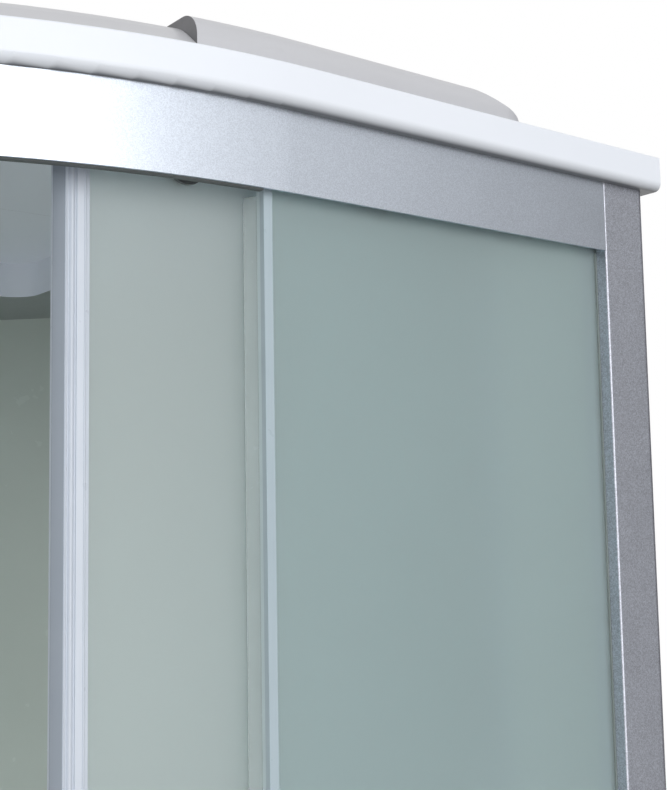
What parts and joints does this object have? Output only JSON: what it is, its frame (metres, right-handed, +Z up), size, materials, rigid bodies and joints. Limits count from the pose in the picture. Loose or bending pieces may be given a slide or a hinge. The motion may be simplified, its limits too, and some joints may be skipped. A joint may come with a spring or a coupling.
{
  "type": "shower cabin",
  "caption": "Quadrant corner shower cabin with curved sliding doors, frosted glass walls, aluminium rails and posts, a deep tray on a framed base, a formed roof, a mixer and an overhead rose.",
  "frame": {"origin": "centre of the cabin's square footprint, on the floor under its feet", "axes": "+Z up; the room's corner is at (-X, +Y) and the curved front faces (+X, -Y)"},
  "size_m": [0.9086, 0.9086, 2.147],
  "materials": {
    "white_acrylic": "smooth formed sheet, low gloss",
    "wall_panel": "smooth pale green-grey panel",
    "satin_aluminium": "satin anodised with a fine sparkle",
    "frosted_glass": "fine satin frost, green-grey",
    "white_pvc": "extruded, slightly translucent",
    "roller_plastic": "moulded, fine texture",
    "nylon": "turned nylon",
    "chrome_plate": "polished",
    "cast_brass": "cast and machined",
    "zinc_steel": "zinc plated",
    "trap_plastic": "moulded",
    "black_rubber": "moulded",
    "foot_plastic": "moulded, ribbed"
  },
  "bodies": {
    "cabin": {"shower_tray": "white_acrylic", "tray_apron": "white_acrylic", "roof_shell": "white_acrylic", "corner_shelf": "white_acrylic", "corner_column": "wall_panel", "bottom_rail": "satin_aluminium", "top_rail": "satin_aluminium", "right_post": "satin_aluminium", "left_post": "satin_aluminium", "rear_foot_channels": "satin_aluminium", "rear_head_channels": "satin_aluminium", "right_fixed_glass": "frosted_glass", "left_fixed_glass": "frosted_glass", "right_rear_glass": "frosted_glass", "left_rear_glass": "frosted_glass", "right_edge_seal": "white_pvc", "left_edge_seal": "white_pvc", "right_post_gasket": "white_pvc", "left_post_gasket": "white_pvc", "mixer_rosette": "chrome_plate", "drain_grate": "chrome_plate", "overhead_rose": "chrome_plate", "mixer_valve": "cast_brass", "tray_frame": "zinc_steel", "foot_studs": "zinc_steel", "foot_nuts": "zinc_steel", "apron_clips": "zinc_steel", "frame_screws": "zinc_steel", "drain_trap": "trap_plastic", "drain_gasket": "black_rubber", "door_bumpers": "black_rubber", "foot_pads": "foot_plastic"},
    "right_door": {"right_door_glass": "frosted_glass", "right_magnet_seal": "white_pvc", "right_tail_seal": "white_pvc", "right_door_handle": "chrome_plate", "right_top_roller_brackets": "roller_plastic", "right_bottom_roller_brackets": "roller_plastic"},
    "right_top_front_roller": {"right_top_front_wheel": "nylon"},
    "right_top_rear_roller": {"right_top_rear_wheel": "nylon"},
    "right_bottom_front_roller": {"right_bottom_front_wheel": "nylon"},
    "right_bottom_rear_roller": {"right_bottom_rear_wheel": "nylon"},
    "left_door": {"left_door_glass": "frosted_glass", "left_magnet_seal": "white_pvc", "left_tail_seal": "white_pvc", "left_door_handle": "chrome_plate", "left_top_roller_brackets": "roller_plastic", "left_bottom_roller_brackets": "roller_plastic"},
    "left_top_front_roller": {"left_top_front_wheel": "nylon"},
    "left_top_rear_roller": {"left_top_rear_wheel": "nylon"},
    "left_bottom_front_roller": {"left_bottom_front_wheel": "nylon"},
    "left_bottom_rear_roller": {"left_bottom_rear_wheel": "nylon"},
    "mixer_cap": {"mixer_cap": "chrome_plate"},
    "mixer_lever": {"mixer_lever": "chrome_plate"}
  },
  "joints": [
    {"name": "right_door_slide", "type": "hinge", "parent": "cabin", "child": "right_door", "pos_m": [-0.10575, 0.10575, 1.17], "axis": [0, 0, -1], "range_deg": [-4, 29.95]},
    {"name": "right_top_front_roller_spin", "type": "hinge", "parent": "right_door", "child": "right_top_front_roller", "pos_m": [0.41939, 0.04991, 2.0725], "axis": [0.9944, -0.1057, 0], "continuous": true},
    {"name": "right_top_rear_roller_spin", "type": "hinge", "parent": "right_door", "child": "right_top_rear_roller", "pos_m": [0.41277, 0.20588, 2.0725], "axis": [0.9819, 0.1896, 0], "continuous": true},
    {"name": "right_bottom_front_roller_spin", "type": "hinge", "parent": "right_door", "child": "right_bottom_front_roller", "pos_m": [0.41939, 0.04991, 0.2745], "axis": [0.9944, -0.1057, 0], "continuous": true},
    {"name": "right_bottom_rear_roller_spin", "type": "hinge", "parent": "right_door", "child": "right_bottom_rear_roller", "pos_m": [0.41277, 0.20588, 0.2745], "axis": [0.9819, 0.1896, 0], "continuous": true},
    {"name": "left_door_slide", "type": "hinge", "parent": "cabin", "child": "left_door", "pos_m": [-0.10575, 0.10575, 1.17], "axis": [0, 0, 1], "range_deg": [-4, 29.95]},
    {"name": "left_top_front_roller_spin", "type": "hinge", "parent": "left_door", "child": "left_top_front_roller", "pos_m": [-0.04991, -0.41939, 2.0725], "axis": [0.1057, -0.9944, 0], "continuous": true},
    {"name": "left_top_rear_roller_spin", "type": "hinge", "parent": "left_door", "child": "left_top_rear_roller", "pos_m": [-0.20588, -0.41277, 2.0725], "axis": [-0.1896, -0.9819, 0], "continuous": true},
    {"name": "left_bottom_front_roller_spin", "type": "hinge", "parent": "left_door", "child": "left_bottom_front_roller", "pos_m": [-0.04991, -0.41939, 0.2745], "axis": [0.1057, -0.9944, 0], "continuous": true},
    {"name": "left_bottom_rear_roller_spin", "type": "hinge", "parent": "left_door", "child": "left_bottom_rear_roller", "pos_m": [-0.20588, -0.41277, 0.2745], "axis": [-0.1896, -0.9819, 0], "continuous": true},
    {"name": "mixer_cap_turn", "type": "hinge", "parent": "cabin", "child": "mixer_cap", "pos_m": [-0.34525, 0.34525, 1.09], "axis": [0.7071, -0.7071, 0], "range_deg": [-45, 45]},
    {"name": "mixer_lever_tilt", "type": "hinge", "parent": "mixer_cap", "child": "mixer_lever", "pos_m": [-0.31018, 0.31018, 1.09], "axis": [-0.7071, -0.7071, 0], "range_deg": [0, 22]}
  ],
  "couplings": [
    {"joint": "right_top_front_roller_spin", "follows": "right_door_slide", "ratio": 55.59},
    {"joint": "right_top_rear_roller_spin", "follows": "right_door_slide", "ratio": 55.59},
    {"joint": "right_bottom_front_roller_spin", "follows": "right_door_slide", "ratio": -55.59},
    {"joint": "right_bottom_rear_roller_spin", "follows": "right_door_slide", "ratio": -55.59},
    {"joint": "left_top_front_roller_spin", "follows": "left_door_slide", "ratio": -55.59},
    {"joint": "left_top_rear_roller_spin", "follows": "left_door_slide", "ratio": -55.59},
    {"joint": "left_bottom_front_roller_spin", "follows": "left_door_slide", "ratio": 55.59},
    {"joint": "left_bottom_rear_roller_spin", "follows": "left_door_slide", "ratio": 55.59}
  ]
}
